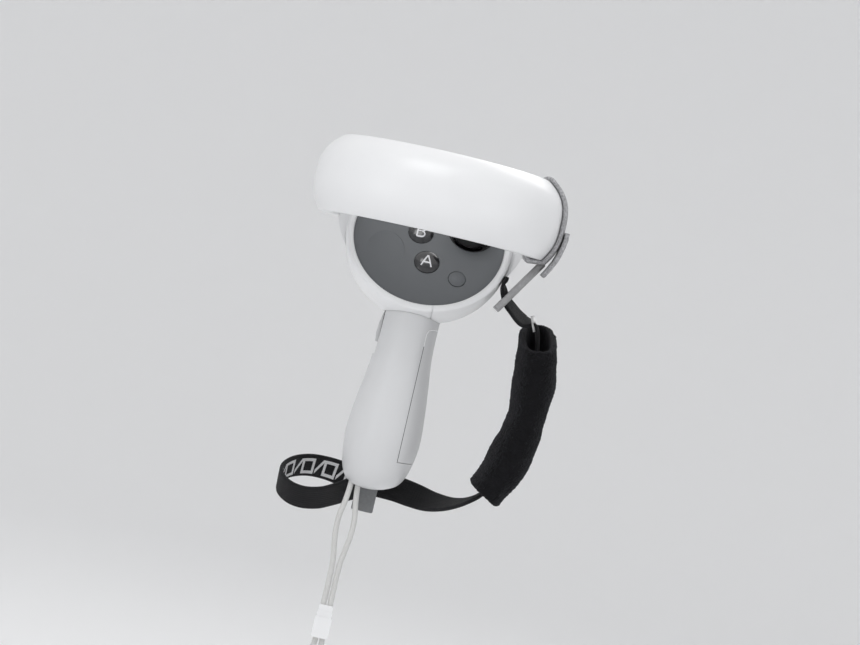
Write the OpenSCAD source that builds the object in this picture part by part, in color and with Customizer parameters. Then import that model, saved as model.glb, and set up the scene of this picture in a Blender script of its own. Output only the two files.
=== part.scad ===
// Hand-held motion controller with a tracking ring, knuckle strap and wrist lanyard.
// Millimetres. The origin is the middle of the hand grip, +Z runs up the grip,
// +Y points away from the user and +X to the user's right.

/* [Tracking ring] */
// Outer diameter of the ring at its fullest height
ring_d = 94.6; // [90:0.2:108]
// Height of the ring's band
ring_h = 29.5; // [25:0.5:34]
// Thickness of the band, outer face to inner face
ring_t = 9.2; // [8:0.2:11]
// Wall of the ring's two shells
ring_wall = 1.5; // [1.2:0.1:1.8]
// Height of the ring's lower edge above the origin
ring_low = 61; // [58:0.5:66]
// Face centre to the inner wall of the ring behind it
head_reach = 29.1; // [27:0.1:31]

/* [Head] */
// Diameter of the dark face plate
face_d = 57.8; // [55:0.2:60]
// Thickness of the face plate
plate_t = 1.8; // [1.4:0.1:2.2]
// Width of the white rim round the plate
rim_w = 3.1; // [2.4:0.1:4]
// Depth of the head's bowl behind the face
bowl_depth = 25; // [23:0.5:28]
// Wall of the head and grip shells
shell_wall = 2; // [1.6:0.1:2.4]
// Tilt of the face's normal from the grip axis
face_tilt = 60; // [56:1:64]
// Height of the face centre above the origin
face_z = 60; // [58:0.5:64]
// Face centre in front of the grip axis
face_y = 2; // [0:0.5:4]

/* [Grip] */
// Width of the grip at its palm swell
grip_w = 28.8; // [26:0.2:34]
// Depth of the grip at its palm swell
grip_depth = 34; // [31:0.5:40]
// Width of the neck under the head
neck_w = 22.4; // [21:0.2:26]
// Depth of the neck under the head
neck_depth = 28; // [26:0.5:32]
// Height of the grip's rounded lower end
grip_bottom = -37.7; // [-42:0.1:-36]
// Gap left round the battery cover
cover_gap = 0.2; // [0.1:0.05:0.4]

/* [Buttons] */
// Diameter of the A and B buttons
button_d = 9.4; // [8:0.1:10]
// Diameter of the menu button
menu_d = 6.4; // [5:0.1:7.5]
// Travel of each button
button_travel = 0.9; // [0.6:0.1:1.1]
// Clearance round each button
button_gap = 0.2; // [0.1:0.05:0.3]

/* [Thumbstick] */
// Diameter of the stick's cap
cap_d = 15.6; // [14:0.2:17]
// Diameter of the stick's stem
stem_d = 5; // [4:0.2:6]
// Diameter of the opening round the stick
well_d = 19; // [18.6:0.2:20]
// Diameter of the gimbal's trunnions
trunnion_d = 1.6; // [1.2:0.1:1.8]

/* [Triggers] */
// Width of the index trigger
trigger_w = 17; // [14:0.5:19]
// Depth of the grip trigger along the finger
squeeze_w = 17; // [14:0.5:18]
// Diameter of the trigger pins
pin_d = 2.4; // [2:0.1:2.8]
// Radial clearance of a running pin
pin_fit = 0.06; // [0.03:0.01:0.09]

/* [Battery] */
// Diameter of the battery cell
cell_d = 14.5; // [13.5:0.1:14.6]
// Length of the battery cell
cell_l = 49.5; // [46:0.5:50]

/* [Knuckle strap] */
// Width of the padded sleeve
pad_w = 40; // [32:1:48]
// Thickness of the padded sleeve
pad_t = 15.6; // [13:0.2:17]
// Wall of the padded sleeve
pad_wall = 2.8; // [2:0.1:3.4]
// Distance from the ring's outer face to the sleeve's centre line
pad_out = 4; // [2:0.5:8]
// Width of the webbing
webbing_w = 10; // [8:0.5:11]
// Thickness of the webbing
webbing_t = 1.4; // [1:0.1:1.6]
// Width of the rubber link
link_w = 13; // [12.5:0.5:16]
// Thickness of the rubber link
link_t = 2.8; // [1.8:0.1:3.2]
// Thickness of the hook-and-loop band
wrap_t = 1.8; // [1.2:0.1:2.2]
// Width of the rubber tab
tab_w = 8.4; // [7:0.2:10]
// Thickness of the rubber tab
tab_t = 2.4; // [2:0.1:2.8]

/* [Lanyard] */
// Diameter of the lanyard cord
cord_d = 2.2; // [1.8:0.1:2.3]

/* [Hidden] */
$fn = 64;

ring_r = ring_d / 2;
ring_in = ring_r - ring_t;
ring_y = face_y + head_reach - (ring_d / 2 - ring_t);
ring_swell = 0.44 * ring_h;      // height of the band's fullest point
rim_r = face_d / 2 + rim_w;
plate_r = face_d / 2;
bowl_power = 0.75;               // roundness of the bowl's outline
seat_gap = 0.1;                  // gap between parts that seat on each other
touch = 0.05;                    // gap between parts that only meet
cell_x = 1.8;
cell_low = -28.8;
cell_top = cell_low + cell_l;

// Places on the face, right and up from its centre
a_at = [1, -10.3];
b_at = [-3.7, 1.9];
rest_at = [-16.3, -8.4];
stick_at = [15.2, 8];
menu_at = [13.5, -14.5];
crown = 0.9;                     // fall of the plate's crowned top at its edge
stick_pivot = -7;                // depth of the stick's pivot under the face
board_top = -5.4;
board_t = 1.2;
post_at = [[-21, 6], [-6, 21.5], [8, -20.5]];
trigger_at = [face_y + 29.8, face_z - 5.5];       // index trigger's pin, Y and Z
squeeze_at = [-neck_w / 2 + 2.9, 26.4];            // grip trigger's pin, X and Z
head_clear = 0.8;                                // round the head, for the grip trigger
squeeze_low = 12.4;                              // pin to the lower end of the cut-out
squeeze_y = 6;                                   // middle of the grip trigger
pad_x = ring_r + pad_out;

// Moves children onto the face: X right, Y up the plate, Z out of it
module on_face(at = [0, 0], lift = 0)
    translate([0, face_y, face_z]) rotate([face_tilt, 0, 0]) translate([at[0], at[1], lift]) children();

// ---- tracking ring ----
// Outer face of the band: fullest at ring_swell, drawn in to the lower edge and over the top
function ring_out(z) = z < ring_swell
    ? ring_r - 4.2 * pow((ring_swell - z) / ring_swell, 2.4)
    : ring_r - (ring_t - 1.6) * pow((z - ring_swell) / (ring_h - ring_swell), 3.2);
ring_steps = 18;
function ring_heights() = [for (i = [0:ring_steps]) ring_h * (1 - cos(180 * i / ring_steps)) / 2];
// Outline of the band's section, grown outwards by g
function ring_outline(g) = concat(
    [[ring_in + 0.8 - g / 2, -g]],
    [for (z = ring_heights()) [ring_out(z) + g, z + g * (2 * z / ring_h - 1)]],
    [[ring_in + 0.6 - g / 2, ring_h + g], [ring_in - g, ring_h - 1 + g / 2], [ring_in - g, 1 - g / 2]]);
function cavity_heights() = [for (z = ring_heights()) if (z > ring_wall && z < ring_h - ring_wall) z];
module ring_band(g = 0)
    translate([0, ring_y, ring_low]) rotate_extrude($fn = 96) polygon(ring_outline(g));
module ring_outer_shell() color("white")
    translate([0, ring_y, ring_low]) rotate_extrude($fn = 96) polygon(concat(
        [[ring_in + ring_wall + 1, 0]], [for (z = ring_heights()) [ring_out(z), z]],
        [[ring_in + ring_wall + touch, ring_h], [ring_in + ring_wall + touch, ring_h - ring_wall]],
        [for (i = [len(cavity_heights()) - 1:-1:0])
            let (z = cavity_heights()[i]) [max(ring_out(z) - ring_wall, ring_in + 2 * ring_wall), z]],
        [[ring_in + ring_wall + 1, ring_wall]]));
module ring_inner_shell() color("whitesmoke")
    translate([0, ring_y, ring_low]) rotate_extrude($fn = 96) polygon([
        [ring_in + ring_wall, ring_h], [ring_in + 0.6, ring_h], [ring_in, ring_h - 1], [ring_in, 1],
        [ring_in + 0.8, 0], [ring_in + ring_wall + 1 - touch, 0],
        [ring_in + ring_wall + 1 - touch, ring_wall], [ring_in + ring_wall, ring_wall + 0.6]]);
flex_r = ring_r - ring_wall - 1.6;
flex_z = ring_low + ring_swell - 4;
module led_flex() color("darkorange")
    translate([0, ring_y, flex_z]) difference() {
        cylinder(r = flex_r, h = 7);
        translate([0, 0, -1]) cylinder(r = flex_r - 0.4, h = 9);
    }
module tracking_leds() color("gold")
    translate([0, ring_y, flex_z + 2.5]) for (i = [0:14]) rotate([0, 0, 24 * i])
        translate([flex_r + touch, -1, 0]) cube([0.7, 2, 1.6]);

// ---- head ----
bowl_steps = 14;
// Bowl outline with its wall set in by s, from the rim to the pole
function bowl(s) = [for (i = [0:bowl_steps]) let (t = 90 * i / bowl_steps)
    [(rim_r - s) * pow(cos(t), bowl_power), -(bowl_depth - s) * pow(sin(t), bowl_power)]];
function bowl_inside() = [for (p = bowl(shell_wall)) if (p[1] < -plate_t - 2.2) p];
module head_solid(g = 0)
    on_face() rotate_extrude($fn = 96) polygon(concat([[0, 1 + g]], [[rim_r - 0.6 + g, 1 + g]], bowl(-g)));
module head_bowl()
    rotate_extrude($fn = 96) polygon(concat(
        bowl(0),
        [for (i = [len(bowl_inside()) - 1:-1:0]) bowl_inside()[i]],
        [[plate_r - 2, -plate_t - 2.2], [plate_r - 2, -plate_t - 0.4], [plate_r + seat_gap, -plate_t - 0.4],
         [plate_r + seat_gap, -0.3], [plate_r + 0.5, 0.5], [plate_r + 1.3, 0.9], [rim_r - 0.9, 0.8],
         [rim_r - 0.2, 0.4]]));
ear_t = 2.4;
module trigger_ear(x)
    translate([x, 0, 0]) rotate([90, 0, 90]) linear_extrude(ear_t) difference() {
        union() {
            translate(trigger_at) circle(r = pin_d / 2 + 2);
            polygon([[trigger_at[0] - 8, trigger_at[1] + 4], [trigger_at[0] + 1, trigger_at[1] + 3.1],
                [trigger_at[0] + 2.6, trigger_at[1] - 2], [trigger_at[0] - 8, trigger_at[1] - 12]]);
        }
        translate(trigger_at) circle(r = pin_d / 2);
    }
module head_shell() color("white") difference() {
    union() {
        on_face() head_bowl();
        difference() {
            for (x = [trigger_w / 2 + 0.4, -trigger_w / 2 - 0.4 - ear_t]) trigger_ear(x);
            on_face() rotate_extrude($fn = 96) polygon(concat([[0, 0]], bowl(shell_wall / 2)));
        }
        for (p = post_at) on_face(p, -20) cylinder(d = 4.4, h = 20 + board_top - board_t - touch);
    }
    for (p = post_at) on_face(p, -14) cylinder(d = 1.9, h = 12);
    translate([0, 3, 20]) cylinder(d = 12, h = 22);
    difference() {
        translate([cover_x, -40, cover_up - 2]) cube([seam, 38, 13]);
        head_solid(-0.5);
    }
    difference() {
        translate([0, ring_y, ring_low - touch]) cylinder(r = ring_in + 12, h = ring_h, $fn = 96);
        translate([0, ring_y, 0]) cylinder(r = ring_in - touch, h = 200, $fn = 96);
        translate([-60, -100 + face_y, 0]) cube([120, 100, 200]);
    }
}
// White saddle that carries the ring on the head
saddle_r = ring_in + 3.9;
module ring_saddle() color("white") difference() {
    intersection() {
        translate([0, ring_y, ring_low + sqrt(pow(saddle_r, 2) - pow(ring_in, 2))]) sphere(r = saddle_r, $fn = 96);
        translate([0, ring_y, 30]) cylinder(r = ring_in - touch, h = 70, $fn = 96);
        on_face([0, 0], -60 - 2.5) translate([-60, -60, 0]) cube([120, 120, 60]);
        translate([-60, face_y - 4, 30]) cube([120, 60, ring_low + ring_h - 4 - 30]);
    }
    head_solid(touch);
    translate([-17, face_y + 22, 30]) cube([34, 30, ring_low + 5.4 - 30]);
}
module face_plate() color("dimgray") difference() {
    on_face() rotate_extrude($fn = 96) polygon(concat([[0, -plate_t]], [[plate_r, -plate_t]],
        [for (r = [plate_r:-plate_r / 8:0]) [r, -crown * pow(r / plate_r, 2)]]));
    for (p = [a_at, b_at]) on_face(p, -5) cylinder(d = button_d + 2 * button_gap, h = 8);
    on_face(menu_at, -5) cylinder(d = menu_d + 2 * button_gap, h = 8);
    on_face(stick_at, -5) cylinder(d = well_d, h = 8);
    on_face(rest_at) rotate_extrude($fn = 64) polygon(concat([[0, 1]],
        [for (r = [0:1:8]) [r, -1.15 + 0.85 * pow(r / 8, 2)]], [[8.4, 1]]));
}
module plate_gasket() color("black")
    on_face([0, 0], -plate_t - 0.35) difference() {
        cylinder(r = plate_r - touch, h = 0.3, $fn = 96);
        translate([0, 0, -1]) cylinder(r = plate_r - 1.6, h = 3, $fn = 96);
    }
stick_room = 8.2;                 // half width of the board's cut-out for the thumbstick
module main_board() color("darkgreen") difference() {
    on_face([0, 0], board_top - board_t) cylinder(r = plate_r - 3.5, h = board_t, $fn = 96);
    on_face([stick_at[0] - stick_room, stick_at[1] - stick_room], board_top - 4) cube([30, 30, 8]);
    for (p = post_at) on_face(p, board_top - 4) cylinder(d = 2.4, h = 8);
}
module board_screws() color("silver") for (p = post_at) {
    on_face(p, board_top + touch) cylinder(d = 3.6, h = 1);
    on_face(p, board_top - 6) cylinder(d = 1.8, h = 6 + 2 * touch);
}
module dome_sheet() color("lightgray") {
    on_face([-9.5, -19], board_top + touch) difference() {
        cube([28.6, 25.4, 0.5]);
        translate([17.5, -1.5, -1]) cylinder(d = 5, h = 3);
        translate([stick_at[0] - stick_room + 9.5, stick_at[1] - stick_room + 19, -2]) cube([30, 30, 4]);
    }
    for (p = [a_at, b_at, menu_at]) on_face(p, board_top + touch + 0.5) cylinder(d1 = 5, d2 = 3.4, h = 0.8);
}
module haptic_motor() color("silver") {
    on_face([-15, -9], -15.5) rotate([0, 90, 0]) cylinder(d = 8.4, h = 11);
    on_face([-4, -9], -15.5) rotate([0, 90, 0]) cylinder(d = 2, h = 3);
}

// ---- buttons ----
flange_t = 0.7;
module button(at, d, dome) {
    on_face(at, -plate_t - seat_gap - flange_t) cylinder(d = d + 1.4, h = flange_t);
    on_face(at, -plate_t - seat_gap - flange_t - 0.5) cylinder(d = 3, h = 1);
    on_face(at, -plate_t - seat_gap) intersection() {
        cylinder(d = d, h = plate_t + dome + 1);
        translate([0, 0, plate_t + seat_gap + dome - d]) sphere(r = d, $fn = 64);
    }
}
module button_a() color("black") button(a_at, button_d, 1.3);
module button_b() color("black") button(b_at, button_d, 1.3);
module menu_button() color("dimgray") button(menu_at, menu_d, 0.6);

// ---- thumbstick ----
housing_in = 12.8;
boot_r = 8.2;
module stick_housing() color("black") difference() {
    on_face([stick_at[0] - housing_in / 2 - 1, stick_at[1] - housing_in / 2 - 1], -12)
        cube([housing_in + 2, housing_in + 2, 12 + board_top]);
    on_face([stick_at[0] - housing_in / 2, stick_at[1] - housing_in / 2], -11)
        cube([housing_in, housing_in, 12]);
    on_face(stick_at, stick_pivot) rotate([0, 90, 0])
        cylinder(d = trunnion_d + 2 * pin_fit, h = housing_in + 8, center = true);
}
module stick_well() color("black") intersection() {
    on_face(stick_at) rotate_extrude($fn = 64) polygon([
        [well_d / 2 - 0.1, -0.9], [well_d / 2 - 0.1, -plate_t - touch], [well_d / 2 + 0.6, -plate_t - touch],
        [well_d / 2 + 0.6, -plate_t - 0.6], [7.7, -3.6], [7.7, -3.1], [well_d / 2 - 0.8, -0.9]]);
    on_face([0, 0], -20) cylinder(r = plate_r - 2 - touch, h = 30, $fn = 96);
}
module gimbal_ring() color("silver") difference() {
    union() {
        on_face(stick_at, stick_pivot - 1.3) cylinder(r = 5.6, h = 2.6);
        on_face(stick_at, stick_pivot) rotate([0, 90, 0])
            cylinder(d = trunnion_d, h = housing_in + 1.6, center = true);
    }
    on_face(stick_at, stick_pivot - 3) cylinder(r = 4.1, h = 6);
    on_face(stick_at, stick_pivot) rotate([90, 0, 0])
        cylinder(d = trunnion_d + 2 * pin_fit, h = 14, center = true);
}
module stick_stem() color("black") difference() {
    union() {
        on_face(stick_at, stick_pivot) sphere(r = 2.9);
        on_face(stick_at, stick_pivot) cylinder(d = stem_d, h = 12);
        on_face(stick_at, stick_pivot) rotate([90, 0, 0]) cylinder(d = trunnion_d, h = 10.8, center = true);
    }
    on_face(stick_at, stick_pivot + 13 - 4) cylinder(d = 2, h = 6);
}
module stick_boot() color("black") difference() {
    on_face(stick_at, stick_pivot) sphere(r = boot_r);
    on_face(stick_at, stick_pivot) sphere(r = boot_r - 0.8);
    on_face(stick_at, stick_pivot - 20) translate([-15, -15, 0]) cube([30, 30, 20 + boot_r * cos(54)]);
    on_face(stick_at, stick_pivot) cylinder(d = stem_d + 2 * touch, h = 12);
}
// Cap with a dished top, a rounded edge and a socket for the stem
module stick_cap() color("dimgray") on_face(stick_at, stick_pivot + 12 + touch) rotate_extrude($fn = 64)
    polygon([[0, 0], [stem_d / 2 + 0.6, 0], [cap_d / 2 - 1.4, 1.4], [cap_d / 2 - 0.3, 2.1], [cap_d / 2, 2.9],
        [cap_d / 2 - 0.3, 3.6], [cap_d / 2 - 1, 4], [cap_d / 2 - 2, 3.7], [cap_d / 4, 3.1], [0, 2.9]]);

// ---- index trigger ----
// Side outline about its pin: heel at the pin, finger hollow in front, tip at the bottom
module trigger_side()
    polygon([[-2.6, 1.4], [0.4, 2.9], [3.6, 1.6], [5.8, -2], [6.6, -6.5], [6.2, -11], [5.4, -15.5],
            [5.5, -19], [6.6, -22.4], [5.6, -23.8], [3.6, -22.8], [2.2, -19.2], [1.6, -15], [1.4, -10],
            [0.2, -5], [-2.4, -1.8]]);
module index_trigger() color("white")
    translate([-trigger_w / 2, trigger_at[0], trigger_at[1]]) rotate([90, 0, 90]) difference() {
        union() {
            cylinder(r = pin_d / 2 + 1.7, h = trigger_w);
            linear_extrude(trigger_w) trigger_side();
        }
        translate([0, 0, -1]) cylinder(r = pin_d / 2 + pin_fit, h = trigger_w + 2);
    }
module index_trigger_pin() color("silver")
    translate([0, trigger_at[0], trigger_at[1]]) rotate([0, 90, 0])
        cylinder(d = pin_d, h = trigger_w + 0.8 + 2 * ear_t, center = true);
module index_trigger_spring() color("silver")
    translate([trigger_w / 2 + 0.06, trigger_at[0], trigger_at[1]]) rotate([0, 90, 0]) difference() {
        cylinder(r = pin_d / 2 + 0.7, h = 0.28);
        translate([0, 0, -1]) cylinder(r = pin_d / 2 + 0.12, h = 3);
    }

// ---- grip trigger ----
module squeeze_side() difference() {
    union() {
        circle(r = pin_d / 2 + 0.9);
        polygon([[-0.8, 3.6], [-2.3, 2.6], [-3.1, -1.4], [-3.5, -5.4], [-3.1, -8.8], [-2.3, -9],
            [-0.9, -8.6], [-0.7, -4.6], [0.6, -2.6], [2, -0.6], [1.6, 1.6]]);
    }
    circle(r = pin_d / 2 + pin_fit);
}
module grip_trigger() color("lightgray") difference() {
    translate([squeeze_at[0], squeeze_y + squeeze_w / 2, squeeze_at[1]]) rotate([90, 0, 0])
        linear_extrude(squeeze_w) squeeze_side();
    head_solid(head_clear);
}
module grip_trigger_pin() color("silver")
    translate([squeeze_at[0], squeeze_y, squeeze_at[1]]) rotate([90, 0, 0])
        cylinder(d = pin_d, h = squeeze_w + 2.4, center = true);
module grip_trigger_spring() color("silver")
    translate([squeeze_at[0] + 0.9, squeeze_y, squeeze_at[1] - 7.2]) rotate([0, 90, 0]) difference() {
        cylinder(r = 1.6, h = 0.9);
        translate([0, 0, -1]) cylinder(r = 1, h = 3);
    }
// Cut-out in the grip that the grip trigger sits in
module squeeze_cut(g) translate([-30, squeeze_y - squeeze_w / 2 - g, squeeze_at[1] - squeeze_low - g])
    cube([30 + squeeze_at[0] + 2 + g, squeeze_w + 2 * g, squeeze_low + 3.6 + 2 * g]);
module trigger_pocket() color("black") difference() {
    intersection() {
        squeeze_cut(1.2);
        translate([squeeze_at[0] - 2, -20, 0]) cube([20, 50, 60]);
    }
    squeeze_cut(0.3);
    head_solid(touch);
    translate([squeeze_at[0], squeeze_y, squeeze_at[1]]) rotate([90, 0, 0])
        cylinder(d = pin_d, h = squeeze_w + 8, center = true);
    translate([cell_x, 0, cell_low]) cylinder(d = cell_d + 2 * touch, h = cell_l + 1);
}

// ---- grip ----
// Sections up the grip: height, half width, half depth, centre X and Y
neck_top = 44;
sections = [
    [grip_bottom, grip_w * 0.12, grip_depth * 0.14, -2.5, 1],
    [grip_bottom + 1, grip_w * 0.24, grip_depth * 0.27, -2, 1],
    [grip_bottom + 3.4, grip_w * 0.36, grip_depth * 0.38, -1.2, 1],
    [grip_bottom + 8, grip_w * 0.44, grip_depth * 0.45, -0.8, 1],
    [-22, grip_w * 0.49, grip_depth * 0.49, -0.5, 1],
    [-15, grip_w * 0.5, grip_depth * 0.5, -0.4, 1],
    [-5, grip_w * 0.47, grip_depth * 0.485, -0.2, 1],
    [5, (grip_w + 3 * neck_w) / 8 + 0.3, (grip_depth + 3 * neck_depth) / 8 + 0.6, 0, 1],
    [15, neck_w / 2, neck_depth / 2 + 0.2, 0, 1],
    [27, neck_w / 2 - 0.2, neck_depth / 2 - 0.3, 0, 1.6],
    [neck_top, neck_w / 2 + 0.4, neck_depth / 2 + 0.6, 0, 4]];
// Ring of points round one section, set in from the surface by inset
function section_ring(s, inset) = let (z = s[0] + inset * (s[0] < neck_top ? (neck_top - s[0]) / (neck_top - grip_bottom) : 0.5))
    [for (k = [0:47]) [s[3] + (s[1] - inset) * cos(7.5 * k), s[4] + (s[2] - inset) * sin(7.5 * k), z]];
module grip_solid(inset) for (i = [0:len(sections) - 2]) hull() polyhedron(
    points = concat(section_ring(sections[i], inset), section_ring(sections[i + 1], inset)), faces = tube_faces(2, 48));
cover_x = 7;                     // front edge of the cover
cover_up = 26.5;
seam = 0.3;                      // width of the line that runs on up the head
cover_low = -25;
// Outline of the battery cover seen from behind, shrunk by g
module cover_zone(g) translate([0, 60, 0]) rotate([90, 0, 0]) linear_extrude(120) polygon([
    [cover_x + g, cover_low + g], [40, cover_low + g], [40, cover_up - g], [cover_x + 2 + g, cover_up - g],
    [cover_x + 0.6 + g, cover_up - 0.6 - g], [cover_x + g, cover_up - 2 - g]]);
tab_y = 3.4;                     // user's side of the rubber tab
module grip_shell() color("whitesmoke") difference() {
    grip_solid(0);
    grip_solid(shell_wall);
    cover_zone(0);
    head_solid(touch);
    squeeze_cut(1.3);
    translate([-2 - tab_w / 2 - 0.2, tab_y - 0.2, grip_bottom - 5]) cube([tab_w + 0.4, tab_t + 0.4, 12]);
    hull() for (x = lanyard_x) translate([x, lanyard_y, grip_bottom - 4]) cylinder(d = cord_d + 0.6, h = 12);
    on_face() translate([-60, -60, 0]) cube([120, 120, 60]);
}
module battery_cover() color("white") intersection() {
    difference() {
        grip_solid(0);
        grip_solid(shell_wall);
    }
    cover_zone(cover_gap);
}
module cover_latch() color("gray") intersection() {
    translate([cell_x + cell_d / 2 + 0.2, -3, cover_low - 2.6]) cube([9, 6, 1.6]);
    grip_solid(shell_wall + touch);
}
tray_h = 35;
module battery_tray() color("black") translate([cell_x, 0, cell_low + 1]) difference() {
    cylinder(d = cell_d + 2.6, h = tray_h);
    translate([0, 0, -1]) cylinder(d = cell_d + 0.4, h = tray_h + 4);
    translate([-1, -20, -1]) cube([40, 40, tray_h + 4]);
}
module battery_cell() color("slateblue") translate([cell_x, 0, 0]) {
    translate([0, 0, cell_low]) cylinder(d = cell_d, h = cell_l - 1.2);
    translate([0, 0, cell_top - 1.2 - touch]) cylinder(d = 5.2, h = 1.2);
}
module contact_plate() color("gold") translate([cell_x, 0, cell_top]) cylinder(d = 8, h = 0.6);
module contact_spring() color("silver") translate([cell_x, 0, cell_low - touch])
    rotate_extrude() polygon([[1.6, 0], [2.3, 0], [4.6, -1.8], [3.9, -1.8]]);

// ---- lanyard ----
lanyard_x = [-8.2, -5.4];
lanyard_y = -3;
lanyard_end = -33 + touch;       // where the cord meets its pin
slider_top = -84;
slider_h = 8;
slider_neck = 4.6;
// Centre line of the cord, from inside the grip, through the slider and back
cord_route = [[-8.2, -3, -33], [-8.2, -3, -38], [-8.8, -3, -44], [-9.8, -3, -50], [-9.8, -3, -56],
    [-9, -3, -62], [-8.3, -3, -67], [-8.1, -3, -72], [-8.1, -3, -82], [-8.1, -3, -97], [-9, -3, -102],
    [-13, -3, -110], [-19, -3, -121], [-25, -3, -133], [-29, -3, -146], [-29.4, -3, -158],
    [-26, -3, -169], [-19, -3, -176.5], [-10, -3, -180], [-6.8, -3, -180.4], [-3.6, -3, -180], [5.4, -3, -176.5],
    [12.4, -3, -169], [15.8, -3, -158], [15.4, -3, -146], [11.4, -3, -133], [5.4, -3, -121],
    [-0.6, -3, -110], [-4.6, -3, -102], [-5.5, -3, -97], [-5.5, -3, -82], [-5.5, -3, -72],
    [-5.3, -3, -67], [-4.6, -3, -62], [-3.8, -3, -56], [-3.8, -3, -50], [-4.8, -3, -44],
    [-5.4, -3, -38], [-5.4, -3, -33]];
// Direction of a route at point i
function along(p, i) = let (d = p[min(i + 1, len(p) - 1)] - p[max(i - 1, 0)]) d / norm(d);
// Faces that join n rings of m corners and close both ends
function tube_faces(n, m) = concat(
    [for (i = [0:n - 2], j = [0:m - 1]) [i * m + j, i * m + (j + 1) % m, (i + 1) * m + (j + 1) % m]],
    [for (i = [0:n - 2], j = [0:m - 1]) [i * m + j, (i + 1) * m + (j + 1) % m, (i + 1) * m + j]],
    [for (j = [1:m - 2]) [0, j + 1, j]], [for (j = [1:m - 2]) [(n - 1) * m, (n - 1) * m + j, (n - 1) * m + j + 1]]);
// Round tube along a route that lies in a plane facing Y
module cord_tube(p, d, sides) polyhedron(
    points = [for (i = [0:len(p) - 1]) let (t = along(p, i), a = [0, 1, 0], b = cross(a, t))
        for (j = [0:sides - 1]) p[i] + d / 2 * (cos(360 * j / sides) * a + sin(360 * j / sides) * b)],
    faces = tube_faces(len(p), sides), convexity = 10);
// Flat strip along a route; each point holds X, Y, Z and the lean of its width from Y to Z
module strip(p, w, t) polyhedron(
    points = [for (i = [0:len(p) - 1])
        let (q = [for (c = p) [c[0], c[1], c[2]]], f = along(q, i),
             a0 = [0, cos(p[i][3]), sin(p[i][3])], a1 = a0 - (a0 * f) * f, a = a1 / norm(a1), b = cross(a, f))
        for (s = [[-1, -1], [1, -1], [1, 1], [-1, 1]]) q[i] + s[0] * w / 2 * a + s[1] * t / 2 * b],
    faces = tube_faces(len(p), 4), convexity = 10);
module lanyard_pin() color("silver") intersection() {
    translate([-14, lanyard_y, lanyard_end + 1]) rotate([0, 90, 0]) cylinder(d = 2, h = 10.2);
    grip_solid(shell_wall + touch);
}
module lanyard_cord() color("white") cord_tube(cord_route, cord_d, 8);
module lanyard_slider() color("white") difference() {
    union() {
        translate([-6.8 - 3.2, lanyard_y - 2.4, slider_top - slider_neck - slider_h]) cube([6.4, 4.8, slider_h]);
        translate([-6.8, lanyard_y, slider_top - slider_neck - touch]) linear_extrude(slider_neck / 2 + touch)
            square([5.6, 3.8], center = true);
        translate([-6.8, lanyard_y, slider_top - slider_neck / 2]) linear_extrude(slider_neck / 2)
            square([5.2, 3.2], center = true);
    }
    for (x = [-8.1, -5.5]) translate([x, lanyard_y, slider_top - 20]) cylinder(r = cord_d / 2 + 0.06, h = 30);
}

// ---- knuckle strap ----
wrap_span = 22;                  // degrees of ring under the hook-and-loop band
module wrap_band() color("gray") difference() {
    translate([0, ring_y, ring_low]) rotate([0, 0, -wrap_span / 2]) rotate_extrude(angle = wrap_span, $fn = 96)
        polygon(ring_outline(wrap_t));
    ring_band(touch);
}
link_top = [ring_r - 4.6, ring_low - wrap_t - 0.8];
link_low = [link_top[0] - 12.4, link_top[1] - 19.4];
link_l = norm(link_top - link_low);
link_lean = atan2(link_top[0] - link_low[0], link_top[1] - link_low[1]);
webbing_up = [link_low[0] + 1.3, link_low[1] + 8.2];
strap_route = [[webbing_up[0] - 0.6, webbing_up[1] + 1.6], [webbing_up[0] + 2.2, webbing_up[1] - 3.1],
    [webbing_up[0] + 5.4, webbing_up[1] - 6.4], [webbing_up[0] + 10, webbing_up[1] - 9.6]];
pad_top = [pad_x - 3.5, 36.6];
pad_low = [pad_x - 9.4, -29];
// Centre line of the sleeve, a cubic curve in X and Z
function pad_line(t) = pow(1 - t, 3) * pad_top + 3 * t * pow(1 - t, 2) * [pad_x + 0.9, 15]
    + 3 * t * t * (1 - t) * [pad_x + 2.6, -9] + pow(t, 3) * pad_low;
pad_steps = 14;
pad_points = [for (i = [0:pad_steps]) pad_line(i / pad_steps)];
// Band of thickness t about the sleeve's centre line
module pad_band(t, over) polygon(concat(
    [for (i = [0:pad_steps]) let (f = along(pad_points, i)) pad_points[i] + t / 2 * [f[1], -f[0]]
        + (i == 0 ? -over * f : i == pad_steps ? over * f : [0, 0])],
    [for (i = [pad_steps:-1:0]) let (f = along(pad_points, i)) pad_points[i] - t / 2 * [f[1], -f[0]]
        + (i == 0 ? -over * f : i == pad_steps ? over * f : [0, 0])]));
module strap_pad() color("black") difference() {
    translate([0, pad_w / 2, 0]) rotate([90, 0, 0]) linear_extrude(pad_w) pad_band(pad_t, 0);
    translate([0, pad_w / 2 - pad_wall, 0]) rotate([90, 0, 0]) linear_extrude(pad_w - 2 * pad_wall)
        pad_band(pad_t - 2 * pad_wall, 1);
}
base_y = grip_depth / 2 + 0.2;    // how far behind the grip's end the webbing passes
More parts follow.
